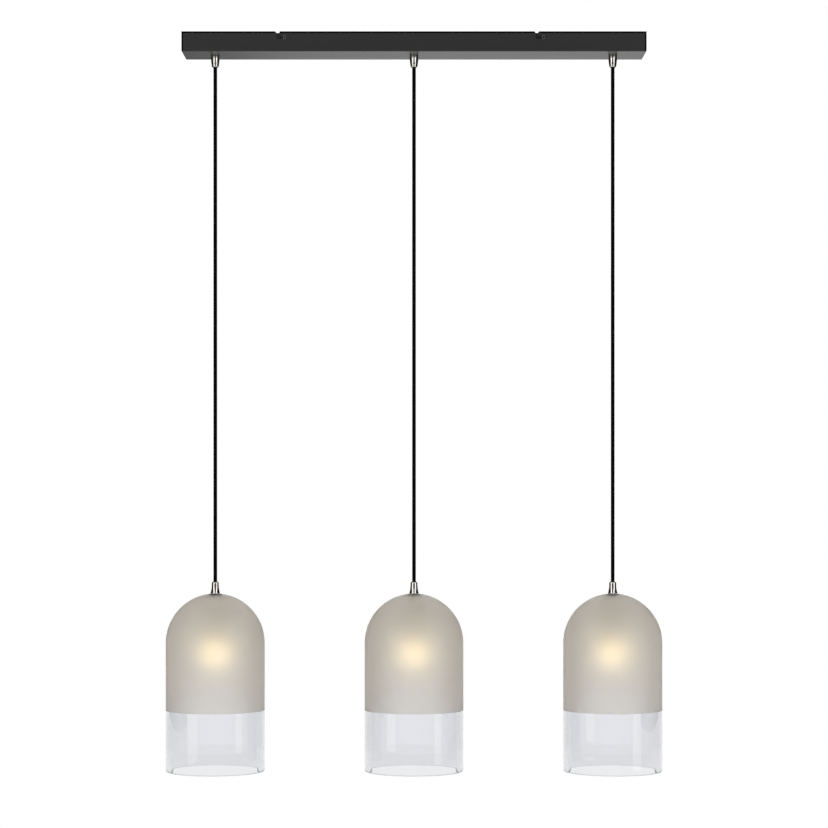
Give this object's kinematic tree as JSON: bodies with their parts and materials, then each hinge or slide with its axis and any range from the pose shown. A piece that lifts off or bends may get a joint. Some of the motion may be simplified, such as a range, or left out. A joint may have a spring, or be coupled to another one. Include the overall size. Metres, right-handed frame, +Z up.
{
  "type": "linear pendant light",
  "caption": "Black bar canopy with glass dome shades hung in a row on straight cords, frosted above and clear below.",
  "frame": {"origin": "on the ceiling plane, in the middle of the four ceiling screws", "axes": "+Z up into the ceiling, X along the canopy bar, -Y the front that the picture shows"},
  "size_m": [0.754, 0.15, 1.117],
  "materials": {
    "canopy": "satin black powder coat",
    "bracket": "black-coated sheet steel",
    "side_screws": "black oxide steel",
    "upper_grips": "satin nickel",
    "upper_collets": "black nylon",
    "upper_stems": "zinc-plated steel, M10x1",
    "upper_washers": "spring steel, toothed",
    "upper_nuts": "zinc-plated steel",
    "cord_tails": "black braided cord cover",
    "terminal_pad": "white foam tape",
    "terminal_block": "natural white nylon",
    "terminal_clamps": "nickel-free brass",
    "terminal_screws": "zinc-plated steel",
    "live_leads": "brown PVC",
    "neutral_leads": "blue PVC",
    "earth_leads": "green and yellow PVC",
    "earth_stud": "zinc-plated steel, M4",
    "earth_tag": "tinned brass",
    "earth_nut": "zinc-plated steel",
    "cord_bend": "black braided cord cover",
    "cord": "black braided cord cover",
    "lower_collet": "black nylon",
    "lower_grip": "satin nickel",
    "lower_stem": "zinc-plated steel, M10x1",
    "shade_seals": "clear silicone",
    "shade_nut": "nickel-plated steel",
    "shade": "smoked glass, frosted above, clear below",
    "holder_cap": "white thermoplastic",
    "holder_body": "white thermoplastic",
    "holder_contacts": "nickel-plated brass",
    "lamp_cap": "nickel-plated",
    "lamp_globe": "opal white glass"
  },
  "bodies": {
    "brackets": {"bracket_left": "bracket", "bracket_right": "bracket", "side_screws": "side_screws"},
    "canopy": {"canopy": "canopy", "upper_grips": "upper_grips", "upper_collets": "upper_collets", "upper_stems": "upper_stems", "upper_washers": "upper_washers", "upper_nuts": "upper_nuts", "cord_tails": "cord_tails", "terminal_pad": "terminal_pad", "terminal_block": "terminal_block", "terminal_clamps": "terminal_clamps", "terminal_screws": "terminal_screws", "live_leads": "live_leads", "neutral_leads": "neutral_leads", "earth_leads": "earth_leads", "earth_stud": "earth_stud", "earth_tag": "earth_tag", "earth_nut": "earth_nut"},
    "cord_bend_left": {"cord_bend_left": "cord_bend"},
    "pendant_left": {"cord_left": "cord", "lower_collet_left": "lower_collet", "lower_grip_left": "lower_grip", "lower_stem_left": "lower_stem", "shade_seals_left": "shade_seals", "shade_nut_left": "shade_nut", "shade_left": "shade", "holder_cap_left": "holder_cap", "holder_body_left": "holder_body", "holder_contacts_left": "holder_contacts"},
    "lamp_left": {"lamp_cap_left": "lamp_cap", "lamp_globe_left": "lamp_globe"},
    "cord_bend_centre": {"cord_bend_centre": "cord_bend"},
    "pendant_centre": {"cord_centre": "cord", "lower_collet_centre": "lower_collet", "lower_grip_centre": "lower_grip", "lower_stem_centre": "lower_stem", "shade_seals_centre": "shade_seals", "shade_nut_centre": "shade_nut", "shade_centre": "shade", "holder_cap_centre": "holder_cap", "holder_body_centre": "holder_body", "holder_contacts_centre": "holder_contacts"},
    "lamp_centre": {"lamp_cap_centre": "lamp_cap", "lamp_globe_centre": "lamp_globe"},
    "cord_bend_right": {"cord_bend_right": "cord_bend"},
    "pendant_right": {"cord_right": "cord", "lower_collet_right": "lower_collet", "lower_grip_right": "lower_grip", "lower_stem_right": "lower_stem", "shade_seals_right": "shade_seals", "shade_nut_right": "shade_nut", "shade_right": "shade", "holder_cap_right": "holder_cap", "holder_body_right": "holder_body", "holder_contacts_right": "holder_contacts"},
    "lamp_right": {"lamp_cap_right": "lamp_cap", "lamp_globe_right": "lamp_globe"}
  },
  "joints": [
    {"name": "canopy_hook_slide", "type": "slide", "parent": "brackets", "child": "canopy", "axis": [1, 0, 0], "range_m": [0, 0.0098]},
    {"name": "swing_left", "type": "hinge", "parent": "canopy", "child": "cord_bend_left", "pos_m": [-0.302, 0, -0.0667], "axis": [1, 0, 0], "range_deg": [-45, 45], "deforming": ["cord_bend_left"]},
    {"name": "sway_left", "type": "hinge", "parent": "cord_bend_left", "child": "pendant_left", "pos_m": [-0.302, 0, -0.1027], "axis": [0, -1, 0], "range_deg": [-45, 8], "deforming": ["cord_bend_left"]},
    {"name": "lamp_out_left", "type": "slide", "parent": "pendant_left", "child": "lamp_left", "axis": [0, 0, -1], "range_m": [0, 0.24]},
    {"name": "swing_centre", "type": "hinge", "parent": "canopy", "child": "cord_bend_centre", "pos_m": [0, 0, -0.0667], "axis": [1, 0, 0], "range_deg": [-45, 45], "deforming": ["cord_bend_centre"]},
    {"name": "sway_centre", "type": "hinge", "parent": "cord_bend_centre", "child": "pendant_centre", "pos_m": [0, 0, -0.1027], "axis": [0, -1, 0], "range_deg": [-8, 8], "deforming": ["cord_bend_centre"]},
    {"name": "lamp_out_centre", "type": "slide", "parent": "pendant_centre", "child": "lamp_centre", "axis": [0, 0, -1], "range_m": [0, 0.24]},
    {"name": "swing_right", "type": "hinge", "parent": "canopy", "child": "cord_bend_right", "pos_m": [0.302, 0, -0.0667], "axis": [1, 0, 0], "range_deg": [-45, 45], "deforming": ["cord_bend_right"]},
    {"name": "sway_right", "type": "hinge", "parent": "cord_bend_right", "child": "pendant_right", "pos_m": [0.302, 0, -0.1027], "axis": [0, -1, 0], "range_deg": [-8, 45], "deforming": ["cord_bend_right"]},
    {"name": "lamp_out_right", "type": "slide", "parent": "pendant_right", "child": "lamp_right", "axis": [0, 0, -1], "range_m": [0, 0.24]}
  ]
}
